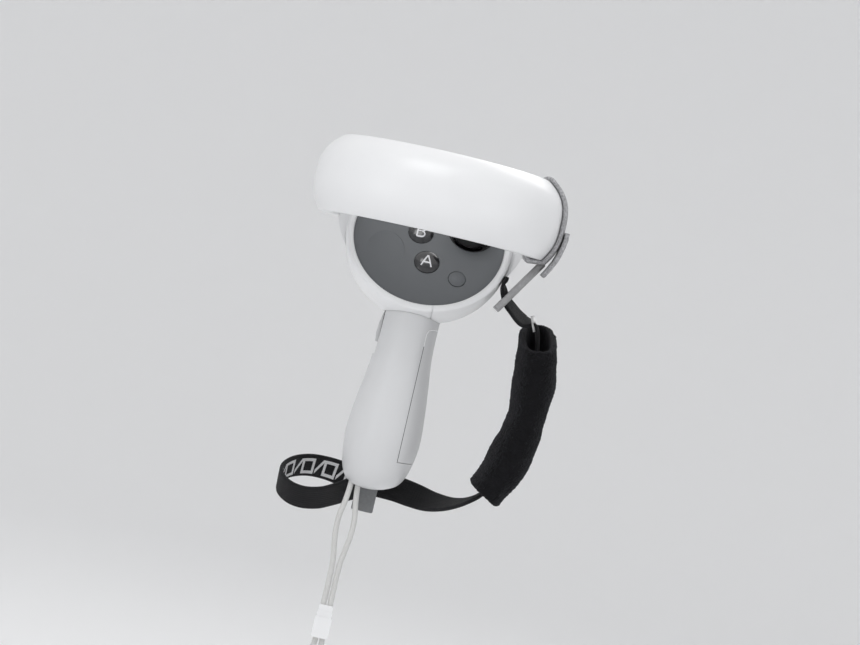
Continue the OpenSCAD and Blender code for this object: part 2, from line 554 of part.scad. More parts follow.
// Webbing from the link, down inside the sleeve and round to the grip's far side
base_z = grip_bottom + 6.3 - webbing_w / 2;   // middle of the webbing there
strap_points = concat(
    [for (p = strap_route) [p[0], 0, p[1], 0]],
    [for (i = [0:2:pad_steps]) [pad_points[i][0] - (i == 0 ? 1 : 0), 0, pad_points[i][1], 0]],
    [[pad_low[0] - 5.5, 1, pad_low[1] - 5, 5], [30, 4, base_z - 0.6, 20], [23, 8.5, base_z - 1.6, 42], [16, 12.8, base_z - 1, 66],
     [9, base_y, base_z - 0.4, 84], [2, base_y + 0.4, base_z - 0.2, 90], [-5, base_y + 0.6, base_z, 90]]);
module strap_webbing() color("black") strip(strap_points, webbing_w, webbing_t);
module strap_label() color("white")
    translate([pad_top[0] - 2.2, -webbing_w / 2 + 1, pad_top[1] + 1.2]) rotate([0, 30, 0]) cube([0.6, webbing_w - 2, 5]);
module rubber_link() color("gray") difference() {
    translate([link_low[0], -link_w / 2, link_low[1]]) rotate([0, link_lean, 0])
        translate([-link_t / 2, 0, 0]) cube([link_t, link_w, link_l]);
    strip_clear();
}
// Slot in the link that the webbing passes through
module strip_clear() {
    mid = (strap_route[0] + strap_route[1]) / 2;
    dir = strap_route[1] - strap_route[0];
    translate([mid[0], 0, mid[1]]) rotate([0, atan2(dir[0], dir[1]), 0])
        cube([webbing_t + 0.5, webbing_w + 0.5, 16], center = true);
}
// Loop of webbing left of the grip's lower end, tilted towards the user
loop_route = [[-5.6, base_y + 0.7, base_z, 92], [-12, base_y + 1, base_z + 0.6, 104], [-19, base_y + 0.6, base_z + 1.4, 114],
    [-26, base_y - 1, base_z + 1.2, 118], [-32, base_y - 5, base_z - 0.6, 120], [-35.2, base_y - 10.4, base_z - 3.6, 120],
    [-34.6, base_y - 16, base_z - 6.6, 120], [-30.6, base_y - 19.6, base_z - 9, 120], [-25, base_y - 20.6, base_z - 9.8, 120],
    [-18.8, base_y - 18.6, base_z - 8.8, 118], [-13.6, base_y - 13, base_z - 6.6, 112], [-9.6, base_y - 7, base_z - 4.6, 104],
    [-6, base_y - 2.6, base_z - 2.6, 96]];
module loop_webbing() color("black") strip(loop_route, webbing_w, webbing_t);
module rubber_tab() color("gray")
    translate([-2 - tab_w / 2, tab_y, grip_bottom - 9.4]) cube([tab_w, tab_t, 9.4 + 5]);

ring_outer_shell();
ring_inner_shell();
led_flex();
tracking_leds();
ring_saddle();
head_shell();
face_plate();
plate_gasket();
main_board();
board_screws();
dome_sheet();
haptic_motor();
button_a();
button_b();
menu_button();
stick_housing();
stick_well();
gimbal_ring();
stick_stem();
stick_boot();
stick_cap();
index_trigger();
index_trigger_pin();
index_trigger_spring();
grip_trigger();
grip_trigger_pin();
grip_trigger_spring();
trigger_pocket();
grip_shell();
battery_cover();
cover_latch();
battery_tray();
battery_cell();
contact_spring();
contact_plate();
lanyard_pin();
lanyard_cord();
lanyard_slider();
wrap_band();
rubber_link();
strap_webbing();
strap_label();
strap_pad();
loop_webbing();
rubber_tab();
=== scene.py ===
"""Looks of a hand-held motion controller: smooth shells, soft strap, cord and finishes round its CAD frame."""
import math
import bmesh
import bpy
import numpy as np
from mathutils import Matrix, Vector


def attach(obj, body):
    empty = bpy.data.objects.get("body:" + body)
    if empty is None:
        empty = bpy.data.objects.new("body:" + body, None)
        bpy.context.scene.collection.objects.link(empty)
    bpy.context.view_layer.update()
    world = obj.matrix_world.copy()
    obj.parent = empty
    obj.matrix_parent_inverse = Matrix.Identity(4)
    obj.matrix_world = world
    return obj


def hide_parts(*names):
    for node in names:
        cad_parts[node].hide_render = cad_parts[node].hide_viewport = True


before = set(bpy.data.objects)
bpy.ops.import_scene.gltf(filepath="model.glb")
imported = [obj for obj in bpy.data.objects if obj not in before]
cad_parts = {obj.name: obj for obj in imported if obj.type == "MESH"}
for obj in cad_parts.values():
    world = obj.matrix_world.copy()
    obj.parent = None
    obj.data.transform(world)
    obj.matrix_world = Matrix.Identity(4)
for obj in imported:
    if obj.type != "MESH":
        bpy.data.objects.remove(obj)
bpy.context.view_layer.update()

bl_info = {
    "name": "Motion controller looks",
    "version": (1, 0, 0),
    "blender": (4, 5, 0),
    "location": "View3D > Sidebar > Controller",
    "description": "Builds the visible surfaces of a hand-held motion controller round its CAD frame",
    "category": "Object",
}

MM = 0.001
BODY = "body"
CAMERA_AT = (0.0073, -0.9, 0.029)
CAMERA_ROLL = 13.0
LENS = 99.1
SENSOR = 36.0
LAMP_AIM = (0, 0, 0.03)
LAMPS = (                 # name, place, side and power of each area lamp
    ("key", (-0.25, -0.75, 0.85), 0.7, 4.2),
    ("fill", (0.8, -0.6, 0.25), 0.8, 1.1),
    ("rim", (0.3, 0.6, 0.8), 0.6, 2.6),
    ("front", (-0.7, -0.7, 0.1), 0.6, 0.9),
)
DOME = 9.4                # radius of the buttons' domed tops
DOME_TOP = 1.3            # height of a button over the face
COVER_EDGE = (7, -25, 26.5)   # front, low and high edges of the battery cover


# ---------------------------------------------------------------- sizes
class ShellSizes(bpy.types.PropertyGroup):
    """Sizes of the moulded shells, in millimetres"""
    ring_d: bpy.props.FloatProperty(name="Ring diameter",
                                    description="Outer diameter at the fullest height", default=94.6)
    ring_h: bpy.props.FloatProperty(name="Ring height", description="Height of the ring's band", default=29.5)
    ring_t: bpy.props.FloatProperty(name="Ring thickness", description="Outer face to inner face", default=9.2)
    ring_low: bpy.props.FloatProperty(name="Ring low edge", description="Height of the lower edge", default=61.0)
    ring_y: bpy.props.FloatProperty(name="Ring centre Y", description="Centre of the ring", default=-7.0)
    grip_w: bpy.props.FloatProperty(name="Grip width", description="Width at the palm swell", default=28.8)
    grip_depth: bpy.props.FloatProperty(name="Grip depth", description="Depth at the palm swell", default=34.0)
    neck_w: bpy.props.FloatProperty(name="Neck width", description="Width under the head", default=22.4)
    neck_depth: bpy.props.FloatProperty(name="Neck depth", description="Depth under the head", default=28.0)
    grip_bottom: bpy.props.FloatProperty(name="Grip low end", description="Height of the rounded end", default=-37.7)
    wall: bpy.props.FloatProperty(name="Wall", description="Wall of the shells", default=2.0)


class StrapSizes(bpy.types.PropertyGroup):
    """Sizes of the soft parts, in millimetres"""
    pad_w: bpy.props.FloatProperty(name="Sleeve width", description="Width of the padded sleeve", default=40.0)
    pad_t: bpy.props.FloatProperty(name="Sleeve thickness", description="Thickness of the sleeve", default=15.6)
    pad_wall: bpy.props.FloatProperty(name="Sleeve wall", description="Wall of the sleeve", default=2.8)
    webbing_w: bpy.props.FloatProperty(name="Webbing width", description="Width of the webbing", default=10.0)
    webbing_t: bpy.props.FloatProperty(name="Webbing thickness", description="Thickness of the webbing", default=1.4)
    wrap_t: bpy.props.FloatProperty(name="Band thickness", description="Hook-and-loop band", default=1.8)
    cord_d: bpy.props.FloatProperty(name="Cord diameter", description="Lanyard cord", default=2.2)


class Finish(bpy.types.PropertyGroup):
    """Colours of the finishes, linear"""
    white: bpy.props.FloatVectorProperty(name="White shell",
                                         description="Moulded white", subtype="COLOR",
                                         default=(0.80, 0.805, 0.815))
    # The grip's white plastic painted greyer than the ring's white: painted shade.
    grip_shaded_white: bpy.props.FloatVectorProperty(name="Grip",
                                             description="White plastic with painted shade", subtype="COLOR",
                                             default=(0.62, 0.625, 0.635))
    plate: bpy.props.FloatVectorProperty(name="Face plate",
                                         description="Dark grey plate", subtype="COLOR",
                                         default=(0.115, 0.122, 0.13))


def shell():
    return bpy.context.scene.controller_shell


def strap():
    return bpy.context.scene.controller_strap


def colours():
    return bpy.context.scene.controller_finish


# ---------------------------------------------------------------- meshes
def grid_faces(rows, cols, wrap_rows, wrap_cols):
    """Quads of a rows x cols grid: corner (i, j) joins (i, j+1), (i+1, j+1) and (i+1, j), with indices taken
    modulo the size where it wraps.
    """
    i = np.arange(rows if wrap_rows else rows - 1)
    j = np.arange(cols if wrap_cols else cols - 1)
    a, b = np.meshgrid(i, j, indexing="ij")
    a2, b2 = (a + 1) % rows, (b + 1) % cols
    return np.stack([a * cols + b, a * cols + b2, a2 * cols + b2, a2 * cols + b], -1).reshape(-1, 4)


def mesh_object(name, points, faces, uv=None, smooth=True):
    """A mesh object from points in millimetres and a list of faces; uv is one pair for each point."""
    mesh = bpy.data.meshes.new(name)
    mesh.from_pydata((np.asarray(points) * MM).tolist(), [], [list(map(int, f)) for f in faces])
    mesh.validate()
    if uv is not None:
        layer = mesh.uv_layers.new(name="UVMap")
        corner = np.empty(len(mesh.loops), dtype=np.int32)
        mesh.loops.foreach_get("vertex_index", corner)
        layer.data.foreach_set("uv", np.asarray(uv, dtype=np.float32)[corner].ravel())
    mesh.polygons.foreach_set("use_smooth", [smooth] * len(mesh.polygons))
    mesh.update()
    obj = bpy.data.objects.new(name, mesh)
    bpy.context.scene.collection.objects.link(obj)
    outward(obj)
    return obj


def outward(obj):
    """Turns every face outwards."""
    bm = bmesh.new()
    bm.from_mesh(obj.data)
    bmesh.ops.remove_doubles(bm, verts=bm.verts, dist=1e-7)
    bmesh.ops.recalc_face_normals(bm, faces=bm.faces)
    bm.to_mesh(obj.data)
    bm.free()


def surface(name, grid, wrap_rows=False, wrap_cols=True, caps=False):
    """A surface through a grid of points (rows, cols, 3); caps closes the first and last rows with fans round
    their centres.
    """
    rows, cols = grid.shape[:2]
    faces = grid_faces(rows, cols, wrap_rows, wrap_cols).tolist()
    points = grid.reshape(-1, 3)
    u, v = np.meshgrid(np.linspace(0, 1, rows), np.linspace(0, 1, cols), indexing="ij")
    uv = np.stack([u, v], -1).reshape(-1, 2)
    if caps:
        ends = np.stack([grid[0].mean(0), grid[-1].mean(0)])
        first, last = len(points), len(points) + 1
        points = np.concatenate([points, ends])
        uv = np.concatenate([uv, [[0, 0.5], [1, 0.5]]])
        for j in range(cols):
            k = (j + 1) % cols
            faces.append([first, k, j])
            faces.append([last, (rows - 1) * cols + j, (rows - 1) * cols + k])
    return mesh_object(name, points, faces, uv)


def revolve(name, section, centre, start=0.0, span=360.0, steps=256):
    """Turns a closed section (radius, height) about the vertical line through centre: x = r cos a, y = r sin a."""
    whole = span >= 360
    angle = np.radians(start + np.linspace(0, span, steps, endpoint=not whole))
    r, z = section[:, 0], section[:, 1]
    grid = np.stack([centre[0] + np.outer(np.cos(angle), r), centre[1] + np.outer(np.sin(angle), r),
                     centre[2] + np.tile(z, (len(angle), 1))], -1)
    return surface(name, grid, wrap_rows=whole, wrap_cols=True, caps=not whole)


def smooth_path(points, count, closed=False):
    """Catmull-Rom curve through the points, resampled to count points an equal distance apart."""
    p = np.asarray(points, float)
    ends = (p[-1:], p[:1]) if closed else (2 * p[:1] - p[1:2], 2 * p[-1:] - p[-2:-1])
    q = np.concatenate([ends[0], p, ends[1]])
    t = np.linspace(0, 1, 24, endpoint=False)[:, None, None]
    a, b, c, d = q[:-3], q[1:-2], q[2:-1], q[3:]
    curve = 0.5 * (2 * b + (c - a) * t + (2 * a - 5 * b + 4 * c - d) * t ** 2 + (3 * b - a - 3 * c + d) * t ** 3)
    line = np.concatenate([curve.transpose(1, 0, 2).reshape(-1, p.shape[1]), p[-1:]])
    run = np.concatenate([[0], np.cumsum(np.linalg.norm(np.diff(line[:, :3], axis=0), axis=1))])
    want = np.linspace(0, run[-1], count)
    return np.stack([np.interp(want, run, line[:, k]) for k in range(p.shape[1])], -1)


def unit(v):
    return v / np.linalg.norm(v, axis=-1, keepdims=True)


def tangents(line):
    return unit(np.gradient(line, axis=0))


def pill(width, thick, across=12, round_steps=5):
    """Outline of a flat strip with rounded edges: two straight sides and two half circles, as (across, through)
    pairs.
    """
    r = thick / 2
    side = np.linspace(-(width / 2 - r), width / 2 - r, across)
    turn = np.linspace(-math.pi / 2, math.pi / 2, round_steps + 2)[1:-1]
    low = np.stack([side, -r * np.ones(across)], -1)
    right = np.stack([width / 2 - r + r * np.cos(turn), r * np.sin(turn)], -1)
    return np.concatenate([low, right, -low, -right])


def strip(name, route, width, thick, count=160, ripple=0.0):
    """A flat band along a route of (x, y, z, lean): the outline is carried along the smoothed route, its width
    leaning from Y to Z by lean degrees, with a small ripple along its length.
    """
    line = smooth_path(route, count)
    f = tangents(line[:, :3])
    lean = np.radians(line[:, 3])
    a = np.stack([0 * lean, np.cos(lean), np.sin(lean)], -1)
    a = unit(a - (a * f).sum(-1, keepdims=True) * f)
    b = np.cross(a, f)
    out = pill(width, thick)
    wave = ripple * np.sin(np.linspace(0, 37, count))[:, None] * np.cos(out[:, 0] / width * 3)[None, :]
    grid = line[:, None, :3] + out[None, :, :1] * a[:, None] + (out[None, :, 1:] + wave[..., None]) * b[:, None]
    obj = surface(name, grid, wrap_cols=True, caps=True)
    return obj


def strip_uv(obj, route, width):
    """UV of a band: first coordinate along the route in millimetres, second across its width in millimetres."""
    line = smooth_path(route, 400)
    xyz = line[:, :3]
    f = tangents(xyz)
    lean = np.radians(line[:, 3])
    a = np.stack([0 * lean, np.cos(lean), np.sin(lean)], -1)
    a = unit(a - (a * f).sum(-1, keepdims=True) * f)
    run = np.concatenate([[0], np.cumsum(np.linalg.norm(np.diff(xyz, axis=0), axis=1))])
    co = np.empty(len(obj.data.vertices) * 3)
    obj.data.vertices.foreach_get("co", co)
    co = co.reshape(-1, 3) / MM
    near = np.argmin(((co[:, None] - xyz[None]) ** 2).sum(-1), axis=1)
    uv = np.stack([run[near], ((co - xyz[near]) * a[near]).sum(-1)], -1)
    b = np.cross(a, f)
    side = ((co - xyz[near]) * b[near]).sum(-1)
    layer = obj.data.uv_layers.get("UVMap") or obj.data.uv_layers.new(name="UVMap")
    corner = np.empty(len(obj.data.loops), dtype=np.int32)
    obj.data.loops.foreach_get("vertex_index", corner)
    layer.data.foreach_set("uv", uv[corner].astype(np.float32).ravel())
    face = obj.data.attributes.new("side", "FLOAT", "POINT")
    face.data.foreach_set("value", side.astype(np.float32))


def apply_modifiers(obj):
    """Makes the piece's modifiers part of its mesh."""
    graph = bpy.context.evaluated_depsgraph_get()
    done = bpy.data.meshes.new_from_object(obj.evaluated_get(graph))
    old = obj.data
    obj.modifiers.clear()
    obj.data = done
    bpy.data.meshes.remove(old)


def carve(obj, cutter, how="DIFFERENCE"):
    """Cuts obj with cutter, then drops the cutter."""
    mod = obj.modifiers.new("cut", "BOOLEAN")
    mod.operation, mod.solver, mod.object = how, "EXACT", cutter
    apply_modifiers(obj)
    bpy.data.objects.remove(cutter)


def shade(obj, angle=35):
    """Smooth shading, with edges sharper than angle left crisp."""
    obj.data.polygons.foreach_set("use_smooth", [True] * len(obj.data.polygons))
    obj.data.set_sharp_from_angle(angle=math.radians(angle))


def soften_edges(obj, width):
    """Rounds the sharp edges by width millimetres."""
    mod = obj.modifiers.new("soften", "BEVEL")
    mod.width, mod.segments, mod.limit_method, mod.angle_limit = width * MM, 2, "ANGLE", math.radians(40)
    mod.harden_normals = False
    apply_modifiers(obj)


def block(low, high):
    """A box between two corners, in millimetres."""
    low, high = np.array(low, float), np.array(high, float)
    corner = np.array([[x, y, z] for x in (0, 1) for y in (0, 1) for z in (0, 1)])
    faces = [[0, 1, 3, 2], [4, 6, 7, 5], [0, 4, 5, 1], [2, 3, 7, 6], [0, 2, 6, 4], [1, 5, 7, 3]]
    return mesh_object("cutter", low + corner * (high - low), faces, smooth=False)


def prism(outline, low, high):
    """An outline in X and Z, extruded along Y from low to high."""
    p = np.array(outline, float)
    n = len(p)
    pts = np.concatenate([np.stack([p[:, 0], np.full(n, y), p[:, 1]], -1) for y in (low, high)])
    faces = [list(range(n)), list(range(2 * n - 1, n - 1, -1))]
    faces += [[i, (i + 1) % n, n + (i + 1) % n, n + i] for i in range(n)]
    return mesh_object("cutter", pts, faces, smooth=False)


# ---------------------------------------------------------------- shader maths
class Val:
    """A shader socket that can be used in Python expressions; each operator adds a Math node."""

    def __init__(self, tree, socket):
        self.tree, self.socket = tree, socket

    def math(self, operation, *others):
        node = self.tree.nodes.new("ShaderNodeMath")
        node.operation = operation
        for slot_, item in zip(node.inputs, (self,) + others):
            connect(self.tree, slot_, item)
        return Val(self.tree, node.outputs[0])

    def __add__(self, o): return self.math("ADD", o)
    __radd__ = __add__
    def __mul__(self, o): return self.math("MULTIPLY", o)
    __rmul__ = __mul__
    def __sub__(self, o): return self.math("SUBTRACT", o)
    def __rsub__(self, o): return constant(self.tree, o).math("SUBTRACT", self)
    def __truediv__(self, o): return self.math("DIVIDE", o)
    def __pow__(self, o): return self.math("POWER", o)
    def __gt__(self, o): return self.math("GREATER_THAN", o)
    def __lt__(self, o): return self.math("LESS_THAN", o)
    def abs(self): return self.math("ABSOLUTE")
    def sin(self): return self.math("SINE")
    def fract(self): return self.math("FRACT")
    def clamp(self): return self.math("MINIMUM", 1.0).math("MAXIMUM", 0.0)


def connect(tree, socket, item):
    if isinstance(item, Val):
        tree.links.new(item.socket, socket)
    else:
        socket.default_value = item


def constant(tree, number):
    node = tree.nodes.new("ShaderNodeValue")
    node.outputs[0].default_value = number
    return Val(tree, node.outputs[0])


class Material:
    """A material with one Principled shader, and one method that adds any other node."""

    def __init__(self, name, colour, roughness, **fixed):
        self.data = bpy.data.materials.new(name)
        self.data.use_nodes = True
        self.tree = self.data.node_tree
        self.shader = self.tree.nodes["Principled BSDF"]
        self.set("Base Color", (*colour, 1.0))
        self.set("Roughness", roughness)
        for key, value in fixed.items():
            self.set(key.replace("_", " "), value)

    def set(self, key, value):
        connect(self.tree, self.shader.inputs[key], value)

    def node(self, kind, settings=None, output=0, **inputs):
        node = self.tree.nodes.new("ShaderNode" + kind)
        for key, value in (settings or {}).items():
            setattr(node, key, value)
        for key, value in inputs.items():
            key = key.replace("_", " ")
            connect(self.tree, node.inputs[int(key[1:]) if key[0] == "i" and key[1:].isdigit() else key], value)
        return Val(self.tree, node.outputs[output])

    def place(self):
        """Object coordinates in metres."""
        return self.node("TexCoord", output="Object")

    def noise(self, scale, detail=3.0, rough=0.55, vector=None):
        return self.node("TexNoise", output="Fac", Vector=vector or self.place(), Scale=scale, Detail=detail,
                         Roughness=rough)

    def mix(self, low, high, factor):
        """Colour between low and high by factor."""
        node = self.tree.nodes.new("ShaderNodeMix")
        node.data_type = "RGBA"
        for index, item in ((6, low), (7, high)):
            connect(self.tree, node.inputs[index], item if isinstance(item, Val) else (*item, 1.0))
        connect(self.tree, node.inputs[0], factor)
        return Val(self.tree, node.outputs[2])

    def bump(self, height, depth, strength=1.0):
        """Bump from a height of 0 to 1, depth in metres."""
        self.set("Normal", self.node("Bump", output="Normal", Height=height, Distance=depth, Strength=strength))

    def split(self, vector):
        """The three parts of a vector."""
        node = self.tree.nodes.new("ShaderNodeSeparateXYZ")
        connect(self.tree, node.inputs[0], vector)
        return [Val(self.tree, node.outputs[k]) for k in range(3)]


def tone(colour, k):
    return tuple(min(1.0, c * k) for c in colour)


def moulded(name, colour, roughness, grain=0.000012, coat=0.0, fine=5200.0):
    """Moulded plastic: fine spark grain in the bump, slow cloudiness in colour and gloss."""
    m = Material(name, colour, roughness, Coat_Weight=coat, Coat_Roughness=0.18, Specular_IOR_Level=0.45)
    cloud = m.noise(38.0, 2.0)
    m.set("Base Color", m.mix(tone(colour, 0.965), tone(colour, 1.02), cloud))
    m.set("Roughness", roughness - 0.05 + 0.1 * m.noise(260.0, 4.0))
    m.bump(m.noise(fine, 2.0, 0.6), grain, 0.35)
    return m.data


def rubber(name, colour, roughness=0.62):
    """Moulded rubber: dull, with dust mottling its colour."""
    m = Material(name, colour, roughness, Specular_IOR_Level=0.35)
    dust = m.noise(900.0, 5.0)
    m.set("Base Color", m.mix(tone(colour, 0.82), tone(colour, 1.25), dust))
    m.set("Roughness", roughness - 0.08 + 0.16 * m.noise(420.0, 3.0))
    m.bump(m.noise(6500.0, 3.0), 0.00002, 0.5)
    return m.data


def metal(name, colour, roughness=0.3):
    m = Material(name, colour, roughness, Metallic=1.0)
    m.set("Roughness", roughness - 0.08 + 0.16 * m.noise(1500.0, 4.0))
    m.bump(m.noise(3000.0, 2.0), 0.000006, 0.4)
    return m.data


def weave_height(m, along, across, pitch):
    """Plain weave: the product of two sine ridges, each shifted by half a step where the other crosses."""
    return ((along * (2 * math.pi / pitch)).sin() * (across * (math.pi / pitch)).sin()).abs() ** 0.6


def webbing(name, colour, printed=False):
    """Woven nylon on the band's own UV, in millimetres; printed adds a plain white
    pattern on one face.
    """
    m = Material(name, colour, 0.72, Specular_IOR_Level=0.25, Sheen_Weight=0.03, Sheen_Roughness=0.5)
    u, v, _ = m.split(m.node("UVMap", {"uv_map": "UVMap"}))
    threads = weave_height(m, u, v, 0.9)
    # Colour follows the weave height: painted highlight on the thread crowns, painted shade in the gaps between
    # threads.
    base = m.mix(tone(colour, 0.55), tone(colour, 1.9), threads)
    if printed:
        step = (u / 9.0).fract()
        band = (v.abs() < 3.5)
        frame_ = band * (((step - 0.36).abs() < 0.3)) * (1.0 - ((step - 0.36).abs() < 0.19) * (v.abs() < 2.2))
        slash = band * (((step + v * 0.06 - 0.86).abs()) < 0.06)
        side = m.node("Attribute", {"attribute_name": "side"}, output="Fac")
        # The print also darkens in the weave's gaps, as painted shade.
        ink = (frame_ + slash).clamp() * (side > 0.2) * (0.82 + 0.18 * threads)
        base = m.mix(base, (0.74, 0.74, 0.75), ink)
    m.set("Base Color", base)
    m.set("Roughness", 0.66 + 0.2 * threads)
    m.bump(threads, 0.00018, 0.8)
    return m.data


def plush(name, colour):
    """Brushed loop fabric: clumped nap in the bump; the colour is painted lighter on the raised nap and darker in its
    hollows, painted highlight and painted shade.
    """
    m = Material(name, colour, 0.93, Specular_IOR_Level=0.12, Sheen_Weight=0.12, Sheen_Roughness=0.35,
                 Sheen_Tint=(0.5, 0.5, 0.55, 1.0))
    nap = m.noise(2600.0, 5.0, 0.7)
    clump = m.noise(520.0, 4.0, 0.6)
    # Painted highlight on the raised nap and painted shade in its hollows: the colour follows the bump's height.
    m.set("Base Color", m.mix(tone(colour, 0.5), tone(colour, 2.6), (nap * 0.6 + clump * 0.5 - 0.15).clamp()))
    m.bump(nap * 0.6 + clump * 0.4, 0.0009, 0.9)
    return m.data


def felt(name, colour):
    """Grey loop felt with lighter loops and darker hollows, painted highlight and painted shade."""
    m = Material(name, colour, 0.9, Specular_IOR_Level=0.15, Sheen_Weight=0.2, Sheen_Roughness=0.5)
    loops = m.node("TexVoronoi", output="Distance", Vector=m.place(), Scale=1500.0)
    nap = m.noise(3200.0, 4.0, 0.7)
    # Painted highlight on the loops and painted shade in the hollows between them.
    m.set("Base Color", m.mix(tone(colour, 0.45), tone(colour, 1.5), (loops * 1.1 * nap + 0.25 * nap).clamp()))
    m.bump(1.0 - loops + 0.5 * nap, 0.0005, 0.9)
    return m.data


def braided(name, colour):
    """Braided cord: crossed strands from two slanted waves on Object coordinates."""
    m = Material(name, colour, 0.7, Specular_IOR_Level=0.3, Sheen_Weight=0.1)
    x, _, z = m.split(m.place())
    lay = ((z * 4200.0 + x * 2600.0).sin() * (z * 4200.0 - x * 2600.0).sin()).abs()
    # Colour darker in the gaps between the strands: painted shade.
    m.set("Base Color", m.mix(tone(colour, 0.82), tone(colour, 1.05), lay))
    m.bump(lay, 0.00012, 0.7)
    return m.data


# ---------------------------------------------------------------- shapes shared by pieces
def ring_outer(z):
    """Outer radius of the band: fullest at 0.44 of its height, falling by powers to the lower edge and over the
    top.
    """
    s = shell()
    r, h, swell = s.ring_d / 2, s.ring_h, 0.44 * s.ring_h
    low = r - 4.2 * np.clip((swell - z) / swell, 0, None) ** 2.4
    high = r - (s.ring_t - 1.6) * np.clip((z - swell) / (h - swell), 0, None) ** 3.2
    return np.where(z < swell, low, high)


def ring_section(grow=0.0, steps=64):
    """Closed outline of the band's section, its corners rounded and grown outwards by grow."""
    s = shell()
    z = s.ring_h * (1 - np.cos(np.linspace(0, math.pi, steps))) / 2
    inner = s.ring_d / 2 - s.ring_t
    out = np.stack([ring_outer(z), z], -1)
    top = [[inner + 0.9, s.ring_h], [inner + 0.25, s.ring_h - 0.3], [inner, s.ring_h - 1.1]]
    low = [[inner, 1.1], [inner + 0.3, 0.35], [inner + 1.1, 0.0]]
    back = np.stack([np.full(14, inner), np.linspace(s.ring_h - 2, 2, 14)], -1)
    line = smooth_path(np.concatenate([out, top, back, low]), 190, closed=False)
    if grow:
        d = tangents(line)
        line = line + grow * np.stack([d[:, 1], -d[:, 0]], -1)
    return line


def ring_centre():
    s = shell()
    return (0.0, s.ring_y, s.ring_low)


def grip_sections():
    s = shell()
    w, d, nw, nd, b = s.grip_w, s.grip_depth, s.neck_w, s.neck_depth, s.grip_bottom
    return np.array([
        [b, w * 0.12, d * 0.14, -2.5, 1], [b + 1, w * 0.24, d * 0.27, -2, 1], [b + 3.4, w * 0.36, d * 0.38, -1.2, 1],
        [b + 8, w * 0.44, d * 0.45, -0.8, 1], [-22, w * 0.49, d * 0.49, -0.5, 1], [-15, w * 0.5, d * 0.5, -0.4, 1],
        [-5, w * 0.47, d * 0.485, -0.2, 1], [5, (w + 3 * nw) / 8 + 0.3, (d + 3 * nd) / 8 + 0.6, 0, 1],
        [15, nw / 2, nd / 2 + 0.2, 0, 1], [27, nw / 2 - 0.2, nd / 2 - 0.3, 0, 1.6],
        [44, nw / 2 + 0.4, nd / 2 + 0.6, 0, 4]])


def grip_solid(inset, rows=110, cols=128):
    """Loft through the grip's oval sections, smoothed along its height, drawn in by inset and rounded off at the
    low end.
    """
    line = smooth_path(grip_sections(), rows)
    b = shell().grip_bottom
    end = line[:1] + (line[:1] - line[1:2]) * 0.02
    end[0, 1:3] *= 0.35
    line = np.concatenate([end, line])
    z = line[:, 0] + inset * (44 - line[:, 0]) / (44 - b)
    z[-1] += inset * 0.5
    a = np.linspace(0, 2 * math.pi, cols, endpoint=False)
    half_w, half_d = np.maximum(line[:, 1] - inset, 0.4), np.maximum(line[:, 2] - inset, 0.4)
    grid = np.stack([line[:, 3, None] + np.outer(half_w, np.cos(a)), line[:, 4, None] + np.outer(half_d, np.sin(a)),
                     np.repeat(z[:, None], cols, 1)], -1)
    return surface("grip_form", grid, caps=True)


FACE_AT = np.array([0.0, 2.0, 60.0])
FACE_TILT = math.radians(60)
RIGHT = np.array([1.0, 0.0, 0.0])
UP = np.array([0.0, math.cos(FACE_TILT), math.sin(FACE_TILT)])
OUT = np.array([0.0, -math.sin(FACE_TILT), math.cos(FACE_TILT)])
RIM_R = 32.0
BOWL_DEPTH = 25.0


def on_face(points):
    """Points given as right, up and out of the face, placed in the row frame."""
    p = np.asarray(points, float)
    return FACE_AT + p[..., :1] * RIGHT + p[..., 1:2] * UP + p[..., 2:] * OUT


def face_revolve(name, section, steps=192, at=(0.0, 0.0)):
    """Turns an open outline (radius, height) about the face's normal; rows run round, columns along the outline."""
    a = np.linspace(0, 2 * math.pi, steps, endpoint=False)
    r, h = section[:, 0], section[:, 1]
    local = np.stack([at[0] + np.outer(np.cos(a), r), at[1] + np.outer(np.sin(a), r), np.tile(h, (steps, 1))], -1)
    return surface(name, on_face(local), wrap_rows=True, wrap_cols=True)


def bowl_line(inset, grow=0.0, count=60):
    t = np.linspace(0, math.pi / 2, count)
    r = (RIM_R - inset + grow) * np.cos(t).clip(0) ** 0.75
    return np.stack([r, -(BOWL_DEPTH - inset + grow) * np.sin(t) ** 0.75], -1)


def head_form(grow):
    line = bowl_line(0, grow)
    line = np.concatenate([[[0.0, 1 + grow], [RIM_R - 0.6 + grow, 1 + grow]], line])
    return face_revolve("cutter", line, 128)


# Route of the cord: inside the grip, down through the slide, round the wrist loop and back
CORD_ROUTE = [
    (-8.2, -3, -33), (-8.2, -3, -38), (-8.8, -3, -44), (-9.8, -3, -50), (-9.8, -3, -56),
    (-9, -3, -62), (-8.3, -3, -67), (-8.1, -3, -72), (-8.1, -3, -82), (-8.1, -3, -97), (-9, -3, -102),
    (-13, -3, -110), (-19, -3, -121), (-25, -3, -133), (-29, -3, -146), (-29.4, -3, -158),
    (-26, -3, -169), (-19, -3, -176.5), (-10, -3, -180), (-6.8, -3, -180.4), (-3.6, -3, -180), (5.4, -3, -176.5),
    (12.4, -3, -169), (15.8, -3, -158), (15.4, -3, -146), (11.4, -3, -133), (5.4, -3, -121),
    (-0.6, -3, -110), (-4.6, -3, -102), (-5.5, -3, -97), (-5.5, -3, -82), (-5.5, -3, -72),
    (-5.3, -3, -67), (-4.6, -3, -62), (-3.8, -3, -56), (-3.8, -3, -50), (-4.8, -3, -44),
    (-5.4, -3, -38), (-5.4, -3, -33)]

